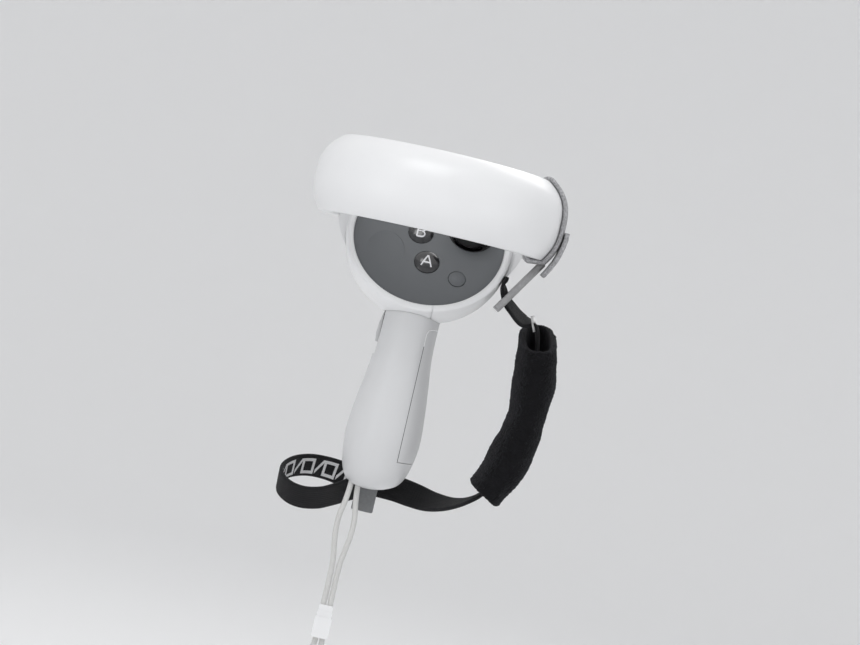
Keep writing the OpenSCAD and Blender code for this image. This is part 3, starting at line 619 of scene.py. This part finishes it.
BASE_Y = 17.2
LOOP_ROUTE = [
    (-5.6, BASE_Y + 0.7, -36.4, 92), (-12, BASE_Y + 1, -35.8, 104), (-19, BASE_Y + 0.6, -35, 114),
    (-26, BASE_Y - 1, -35.2, 118), (-32, BASE_Y - 5, -37, 120), (-35.2, BASE_Y - 10.4, -40, 120),
    (-34.6, BASE_Y - 16, -43, 120), (-30.6, BASE_Y - 19.6, -45.4, 120), (-25, BASE_Y - 20.6, -46.2, 120),
    (-18.8, BASE_Y - 18.6, -45.2, 118), (-13.6, BASE_Y - 13, -43, 112), (-9.6, BASE_Y - 7, -41, 104),
    (-6, BASE_Y - 2.6, -39, 96)]


def pad_centre(t):
    """Centre line of the sleeve in X and Z: a cubic curve."""
    x = shell().ring_d / 2 + 4
    p = np.array([[x - 3.5, 36.6], [x + 0.9, 15], [x + 2.6, -9], [x - 9.4, -29]])
    t = np.asarray(t)[:, None]
    return (1 - t) ** 3 * p[0] + 3 * t * (1 - t) ** 2 * p[1] + 3 * t * t * (1 - t) * p[2] + t ** 3 * p[3]


def link_ends():
    s = shell()
    top = np.array([s.ring_d / 2 - 4.6, s.ring_low - strap().wrap_t - 0.8])
    return top, top - np.array([12.4, 19.4])


def strap_route():
    _, low = link_ends()
    up = low + np.array([1.3, 8.2])
    head = [up + (0.1, 5.2), up + (-0.2, 1.6), up + (2.0, -3.1), up + (5.4, -6.4), up + (10, -9.6)]
    line = pad_centre(np.linspace(0, 1, 8))
    line[0, 0] -= 1
    end = line[-1]
    route = [(x, 0, z, 28) for x, z in head] + [(x, 0, z, 0) for x, z in line]
    return route + [(end[0] - 5.5, 1, end[1] - 5, 5), (30, 4, -37, 20), (23, 8.5, -38, 42), (16, 12.8, -37.4, 66),
                    (9, BASE_Y, -36.8, 84), (2, BASE_Y + 0.4, -36.6, 90), (-5, BASE_Y + 0.6, -36.4, 90)]


# ---------------------------------------------------------------- operators
class Piece(bpy.types.Operator):
    """Common base for the operators that build one piece or group"""
    bl_options = {"REGISTER", "UNDO"}

    def finish_piece(self, obj, body, slot, *nodes, material=None):
        """Gives a piece its body, the CAD nodes that it stands for and its material; its record slot, slot, is not
        used.
        """
        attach(obj, body)
        if nodes:
            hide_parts(*nodes)
        if material is not None:
            obj.data.materials.clear()
            obj.data.materials.append(material)


class CONTROLLER_OT_camera(Piece):
    """Places the camera level with the grip, rolled, on the user's side"""
    bl_idname = "controller.camera"
    bl_label = "Camera"

    def execute(self, context):
        data = bpy.data.cameras.new("camera")
        data.lens, data.sensor_width = LENS, SENSOR
        data.clip_start, data.clip_end = 0.05, 20.0
        cam = bpy.data.objects.new("camera", data)
        context.scene.collection.objects.link(cam)
        roll = math.radians(CAMERA_ROLL)
        right = Vector((math.cos(roll), 0, math.sin(roll)))
        up = Vector((-math.sin(roll), 0, math.cos(roll)))
        back = Vector((0, -1, 0))
        place = Matrix.Identity(4)
        for k, axis in enumerate((right, up, back)):
            for row in range(3):
                place[row][k] = axis[row]
        place.translation = Vector(CAMERA_AT)
        cam.matrix_world = place
        context.scene.camera = cam
        return {"FINISHED"}


class CONTROLLER_OT_stage(Piece):
    """Pale floor that curves up into a backdrop, with soft studio lights"""
    bl_idname = "controller.stage"
    bl_label = "Stage"

    def execute(self, context):
        floor_z, reach, bend = -260.0, 2600.0, 900.0
        turn = np.linspace(0, math.pi / 2, 16)
        r = np.concatenate([[1.0, 800.0], reach - bend + bend * np.sin(turn), [reach]])
        z = np.concatenate([[floor_z, floor_z], floor_z + bend - bend * np.cos(turn), [2600]])
        around = np.linspace(0, 2 * math.pi, 96, endpoint=False)
        grid = np.stack([np.outer(np.cos(around), r), np.outer(np.sin(around), r), np.tile(z, (96, 1))], -1)
        floor = surface("backdrop", grid, wrap_rows=True, wrap_cols=False)
        m = Material("backdrop", (0.9, 0.903, 0.91), 0.9)
        floor.data.materials.append(m.data)
        world = bpy.data.worlds.new("studio")
        world.use_nodes = True
        world.node_tree.nodes["Background"].inputs[0].default_value = (1, 1, 1, 1)
        world.node_tree.nodes["Background"].inputs[1].default_value = 0.8
        context.scene.world = world
        context.scene.view_settings.view_transform = "Standard"
        for name, place, size, power in LAMPS:
            data = bpy.data.lights.new(name, "AREA")
            data.energy, data.size = power, size
            lamp = bpy.data.objects.new(name, data)
            context.scene.collection.objects.link(lamp)
            lamp.location = place
            lamp.rotation_euler = (Vector(LAMP_AIM) - Vector(place)).to_track_quat("-Z", "Y").to_euler()
        return {"FINISHED"}


class CONTROLLER_OT_lanyard(Piece):
    """Cord that hangs from the grip's low end through its slide into a wrist loop"""
    bl_idname = "controller.lanyard"
    bl_label = "Lanyard"

    def execute(self, context):
        line = smooth_path(CORD_ROUTE, 240)
        curve = bpy.data.curves.new("lanyard", "CURVE")
        curve.dimensions = "3D"
        curve.bevel_depth = strap().cord_d / 2 * MM * 0.97
        curve.bevel_resolution = 4
        curve.use_fill_caps = True
        spline = curve.splines.new("POLY")
        spline.points.add(len(line) - 1)
        spline.points.foreach_set("co", np.concatenate([line * MM, np.ones((len(line), 1))], 1).ravel())
        obj = bpy.data.objects.new("lanyard", curve)
        context.scene.collection.objects.link(obj)
        curve.materials.append(braided("cord_braid", (0.66, 0.66, 0.65)))
        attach(obj, BODY)
        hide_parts("lanyard_cord")
        return {"FINISHED"}


class CONTROLLER_OT_ring(Piece):
    """Smooth tracking ring, and the hook-and-loop band round its right side"""
    bl_idname = "controller.ring"
    bl_label = "Tracking ring"

    def execute(self, context):
        ring = revolve("tracking_ring", ring_section(), ring_centre())
        white = moulded("ring_white", tuple(colours().white), 0.34, coat=0.25)
        self.finish_piece(ring, BODY, "white_shell", "ring_outer_shell", "ring_inner_shell", material=white)
        s, t = shell(), strap().wrap_t
        line = ring_section(t / 2 + 0.08)
        steps, span = 90, 21.0
        angle = np.radians(np.linspace(-span / 2, span / 2, steps))
        edge = np.abs(np.linspace(-1, 1, steps))
        half = (t / 2) * np.clip((1 - edge ** 14), 0.05, 1) ** 0.5
        d = tangents(line)
        normal = np.stack([d[:, 1], -d[:, 0]], -1)
        walls = []
        for side in (1.0, -1.0):
            sec = line[None] + side * half[:, None, None] * normal[None]
            x = np.cos(angle)[:, None] * sec[..., 0]
            y = s.ring_y + np.sin(angle)[:, None] * sec[..., 0]
            walls.append(np.stack([x, y, s.ring_low + sec[..., 1]], -1))
        grid = np.concatenate([walls[0], walls[1][::-1]])
        band = surface("wrap_felt", grid, wrap_rows=True, wrap_cols=True)
        fuzz = felt("band_felt", (0.44, 0.44, 0.455))
        self.finish_piece(band, BODY, "grey_felt", "wrap_band", material=fuzz)
        x = s.ring_d / 2 + t
        flap = strip("wrap_flap", [(x + 0.9, s.ring_y, 73, 0), (x + 0.7, s.ring_y, 69, 0), (x - 0.7, s.ring_y, 63, 0),
                                   (x - 2.8, s.ring_y, 58.4, 0), (x - 4.4, s.ring_y, 55.6, 0)], 17, t, 60, 0.12)
        self.finish_piece(flap, BODY, "grey_felt", material=fuzz)
        return {"FINISHED"}


class CONTROLLER_OT_grip(Piece):
    """Smooth grip shell and battery cover, cut to the same lines as the CAD parts"""
    bl_idname = "controller.grip"
    bl_label = "Grip"

    def zone(self, gap):
        x, low, high = COVER_EDGE[0] + gap, COVER_EDGE[1] + gap, COVER_EDGE[2] - gap
        return prism([(x, low), (40, low), (40, high), (x + 2, high), (x + 0.6, high - 0.6), (x, high - 2)], -60, 60)

    def execute(self, context):
        # The grip's white plastic painted greyer than the ring: painted shade on the grip.
        colour = moulded("grip_plastic", tuple(colours().grip_shaded_white), 0.42, coat=0.12)
        wall = shell().wall
        grip = grip_solid(0)
        carve(grip, grip_solid(wall))
        cover = grip.copy()
        cover.data = grip.data.copy()
        cover.name = "battery_door"
        context.scene.collection.objects.link(cover)
        carve(cover, self.zone(0.2), "INTERSECT")
        carve(grip, self.zone(0.0))
        carve(grip, head_form(0.05))
        neck = shell().neck_w / 2
        carve(grip, block((-30, -3.8, 12.7), (-neck + 2.9 + 2 + 1.3, 15.8, 31.3)))
        carve(grip, block((-6.4, 3.2, -50), (2.4, 6.0, -30.7)))
        above = block((-60, -60, 0), (60, 60, 60))
        place = np.array([v.co for v in above.data.vertices]) / MM
        above.data.vertices.foreach_set("co", (on_face(place) * MM).ravel())
        carve(grip, above)
        carve(grip, block((-8.2 - 1.4, -4.4, -42), (-5.4 + 1.4, -1.6, -30)))
        for obj in (grip, cover):
            soften_edges(obj, 0.22)
            shade(obj)
        grip.name = "grip_smooth"
        self.finish_piece(grip, BODY, "light_grey_shell", "grip_shell", material=colour)
        # The door shares the grip's white painted greyer: painted shade.
        door = moulded("door_plastic", tuple(colours().grip_shaded_white), 0.4, coat=0.12)
        self.finish_piece(cover, "cover_body", "white_shell", "battery_cover", material=door)
        return {"FINISHED"}


class CONTROLLER_OT_straps(Piece):
    """Narrow webbing, webbing loop, rubber parts and the white label"""
    bl_idname = "controller.straps"
    bl_label = "Straps"

    def execute(self, context):
        w, t = strap().webbing_w, strap().webbing_t
        black = webbing("webbing_black", (0.007, 0.007, 0.008))
        route = strap_route()
        band = strip("strap_band", route, w, t, 260, 0.05)
        strip_uv(band, route, w)
        self.finish_piece(band, BODY, "black_webbing", "strap_webbing", material=black)
        loop = strip("loop_band", LOOP_ROUTE, w, t, 200, 0.04)
        strip_uv(loop, LOOP_ROUTE, w)
        self.finish_piece(loop, BODY, "black_webbing", "loop_webbing",
                          material=webbing("webbing_printed", (0.007, 0.007, 0.008), printed=True))
        top, low = link_ends()
        spots = [tuple(top + k * (low - top)) for k in (-0.1, 0.35, 0.7, 0.98)]
        link = strip("link_rubber", [(x, 0, z, 0) for x, z in spots], 13, 2.7, 60)
        soften_edges(link, 0.9)
        self.finish_piece(link, BODY, "grey_rubber", "rubber_link", material=rubber("link_grey", (0.34, 0.34, 0.345)))
        label = strip("label_white", [(44.6, -3, 40.2, 30), (45.6, -3, 37.6, 30), (46.9, -3, 34.6, 30)], 7, 0.5, 30)
        cloth = webbing("label_cloth", (0.55, 0.55, 0.56))
        self.finish_piece(label, BODY, "white_shell", "strap_label", material=cloth)
        tab = block((-6.2, 3.4, -47.1), (2.2, 5.8, -32.7))
        tab.name = "tab_rubber"
        soften_edges(tab, 0.6)
        shade(tab)
        # Dark grey rubber painted darker still: painted shade under the grip's base.
        self.finish_piece(tab, BODY, "grey_rubber", "rubber_tab", material=rubber("tab_shaded_grey", (0.17, 0.175, 0.18)))
        return {"FINISHED"}


class CONTROLLER_OT_sleeve(Piece):
    """Padded sleeve: a soft oval tube along a curve, with an open top, rolled lips and shallow wrinkles"""
    bl_idname = "controller.sleeve"
    bl_label = "Padded sleeve"

    def execute(self, context):
        st = strap()
        rows, cols = 150, 160
        t = np.linspace(0, 1, rows)
        a = np.linspace(0, 2 * math.pi, cols, endpoint=False)
        power = 0.72
        across = np.sign(np.sin(a)) * np.abs(np.sin(a)) ** power
        through = np.sign(np.cos(a)) * np.abs(np.cos(a)) ** power
        along = t[:, None] + 0.075 * (1 - t[:, None]) ** 3 * (1 - across[None])
        line = pad_centre(along.ravel()).reshape(rows, cols, 2)
        f = unit(np.gradient(line, axis=0))
        n = np.stack([f[..., 1], -f[..., 0]], -1)
        rng = np.random.default_rng(7)
        phase = rng.uniform(0, 6.28, 6)
        wrinkle = sum(np.sin(phase[k] + (k + 2) * 2.3 * t[:, None] * 3 + (k - 2) * a[None]) / (k + 2)
                      for k in range(6))

        def wall(inset):
            w = st.pad_w / 2 - inset
            h = st.pad_t / 2 - inset
            crown = 1 - 0.05 * np.cos(t * 6.28 * 2)
            bulge = (0.32 * wrinkle) * (1 - 0.5 * (inset > 0)) - 0.25
            hx = (h * crown)[:, None] * through[None] + bulge * through[None]
            hy = w * across[None] + bulge * across[None]
            x = line[..., 0] + hx * n[..., 0]
            z = line[..., 1] + hx * n[..., 1]
            return np.stack([x, hy, z], -1)

        outer, inner = wall(0.0), wall(st.pad_wall)
        roll = np.linspace(0, math.pi, 7)[1:-1]

        def lip(o, i, step):
            mid, half = (o + i) / 2, (o - i) / 2
            reach = np.linalg.norm(half, axis=-1, keepdims=True)
            return np.stack([mid + half * math.cos(r) + step * reach * math.sin(r) for r in roll])

        top_dir = -0.6 * np.stack([f[0, :, 0], 0 * a, f[0, :, 1]], -1)
        low_dir = 0.6 * np.stack([f[-1, :, 0], 0 * a, f[-1, :, 1]], -1)
        outer = outer + rng.normal(0, 0.16, outer.shape).clip(-0.3, 0.3)
        grid = np.concatenate([outer, lip(outer[-1], inner[-1], low_dir), inner[::-1],
                               lip(inner[0], outer[0], top_dir)])
        pad = surface("padded_sleeve", grid, wrap_rows=True, wrap_cols=True)
        nap = plush("sleeve_plush", (0.007, 0.007, 0.008))
        self.finish_piece(pad, BODY, "black_plush", "strap_pad", material=nap)
        return {"FINISHED"}


class CONTROLLER_OT_letters(Piece):
    """Raised letters on the two face buttons"""
    bl_idname = "controller.letters"
    bl_label = "Button letters"

    def stroke(self, points, at):
        """Thin flat ribbon along a polyline on a button's domed top."""
        line = np.asarray(points, float)
        step = np.linspace(0, len(line) - 1, 12 * (len(line) - 1) + 1)
        line = np.stack([np.interp(step, np.arange(len(line)), line[:, k]) for k in (0, 1)], -1)
        d = tangents(line)
        n = np.stack([-d[:, 1], d[:, 0]], -1) * 0.27
        flat = np.stack([line + n, line - n], 1)
        r2 = (flat ** 2).sum(-1, keepdims=True)
        top = DOME_TOP - DOME + np.sqrt(DOME ** 2 - r2)
        low = np.concatenate([flat + at, top - 0.1], -1)
        high = np.concatenate([flat + at, top + 0.06], -1)
        ring = np.stack([low[:, 0], low[:, 1], high[:, 1], high[:, 0]], 1)
        return on_face(ring)

    def execute(self, context):
        ink = Material("letter_ink", (0.78, 0.78, 0.8), 0.5)
        ink.set("Base Color", ink.mix((0.7, 0.7, 0.72), (0.82, 0.82, 0.84), ink.noise(3000.0)))
        half = np.linspace(-math.pi / 2, math.pi / 2, 14)

        def bow(cy, r):
            return [(0.1 + 1.15 * math.cos(a) * r, cy + math.sin(a) * r) for a in half]

        glyphs = {
            "a": ((1.0, -10.3), [[(-1.35, -1.6), (0, 1.7)], [(0, 1.7), (1.35, -1.6)],
                                 [(-0.85, -0.55), (0.85, -0.55)]]),
            "b": ((-3.7, 1.9), [[(-0.95, -1.6), (-0.95, 0), (-0.95, 1.6)],
                                [(-0.95, 1.6)] + bow(0.82, 0.78)[::-1] + [(-0.95, 0.04)],
                                [(-0.95, 0.04)] + bow(-0.78, 0.82)[::-1] + [(-0.95, -1.6)]]),
        }
        for key, (at, lines) in glyphs.items():
            parts = [self.stroke(1.45 * np.array(p), np.array(at)) for p in lines]
            points, faces, base = [], [], 0
            for g in parts:
                rows = len(g)
                faces += (grid_faces(rows, 4, False, True) + base).tolist()
                faces += [[base, base + 1, base + 2, base + 3], [base + (rows - 1) * 4 + k for k in (3, 2, 1, 0)]]
                points.append(g.reshape(-1, 3))
                base += rows * 4
            obj = mesh_object("letter_" + key, np.concatenate(points), faces, smooth=False)
            self.finish_piece(obj, "button_%s_body" % key, "white_shell", material=ink.data)
        return {"FINISHED"}


class CONTROLLER_OT_finishes(Piece):
    """Materials of the CAD parts that stay as they are"""
    bl_idname = "controller.finishes"
    bl_label = "Finishes"

    def execute(self, context):
        white = moulded("shell_white", tuple(colours().white), 0.36, coat=0.2)
        # The grip trigger takes the grip's white painted greyer: painted shade.
        grey = moulded("shell_shaded_white", tuple(colours().grip_shaded_white), 0.42)
        plate = moulded("plate_grey", tuple(colours().plate), 0.5, grain=0.00003, fine=4200.0)
        black = moulded("black_plastic", (0.012, 0.012, 0.013), 0.45)
        gloss = moulded("button_gloss", (0.02, 0.02, 0.022), 0.12, coat=1.0, grain=0.000002)
        soft = rubber("black_rubber", (0.014, 0.014, 0.015))
        grey_rubber = rubber("grey_rubber", (0.15, 0.15, 0.155))
        steel = metal("steel", (0.55, 0.55, 0.57))
        gold = metal("gold", (0.85, 0.62, 0.25))
        board = moulded("solder_mask", (0.01, 0.1, 0.035), 0.35, coat=0.4)
        sleeve = moulded("cell_sleeve", (0.03, 0.032, 0.036), 0.3, coat=0.5)
        sets = {
            white: "ring_saddle head_shell index_trigger lanyard_slider",
            grey: "grip_trigger", plate: "face_plate menu_button",
            black: "stick_housing stick_well stick_stem trigger_pocket cover_latch battery_tray",
            gloss: "button_a button_b", soft: "plate_gasket stick_boot stick_cap",
            grey_rubber: "dome_sheet",
            steel: "board_screws haptic_motor gimbal_ring index_trigger_pin index_trigger_spring grip_trigger_pin "
                   "grip_trigger_spring contact_spring lanyard_pin",
            gold: "tracking_leds contact_plate", board: "main_board led_flex", sleeve: "battery_cell"}
        for material, names in sets.items():
            for name in names.split():
                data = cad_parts[name].data
                data.materials.clear()
                data.materials.append(material)
        return {"FINISHED"}


STEPS = ["camera", "lanyard", "stage", "ring", "grip", "straps", "sleeve", "letters", "finishes"]


class CONTROLLER_PT_panel(bpy.types.Panel):
    """Lists the controller's pieces in the sidebar"""
    bl_idname = "CONTROLLER_PT_panel"
    bl_label = "Motion controller"
    bl_space_type = "VIEW_3D"
    bl_region_type = "UI"
    bl_category = "Controller"

    def draw(self, context):
        for step in STEPS:
            self.layout.operator("controller." + step)
        for group in (context.scene.controller_shell, context.scene.controller_strap):
            for key in group.__annotations__:
                self.layout.prop(group, key)


CLASSES = [ShellSizes, StrapSizes, Finish, CONTROLLER_OT_camera, CONTROLLER_OT_stage, CONTROLLER_OT_lanyard,
           CONTROLLER_OT_ring, CONTROLLER_OT_grip, CONTROLLER_OT_straps, CONTROLLER_OT_sleeve,
           CONTROLLER_OT_letters, CONTROLLER_OT_finishes, CONTROLLER_PT_panel]


def register():
    for cls in CLASSES:
        bpy.utils.register_class(cls)
    bpy.types.Scene.controller_shell = bpy.props.PointerProperty(type=ShellSizes)
    bpy.types.Scene.controller_strap = bpy.props.PointerProperty(type=StrapSizes)
    bpy.types.Scene.controller_finish = bpy.props.PointerProperty(type=Finish)


def unregister():
    for name in ("controller_shell", "controller_strap", "controller_finish"):
        delattr(bpy.types.Scene, name)
    for cls in reversed(CLASSES):
        bpy.utils.unregister_class(cls)


def main():
    register()
    for step in STEPS:
        getattr(bpy.ops.controller, step)()


if __name__ == "__main__":
    main()
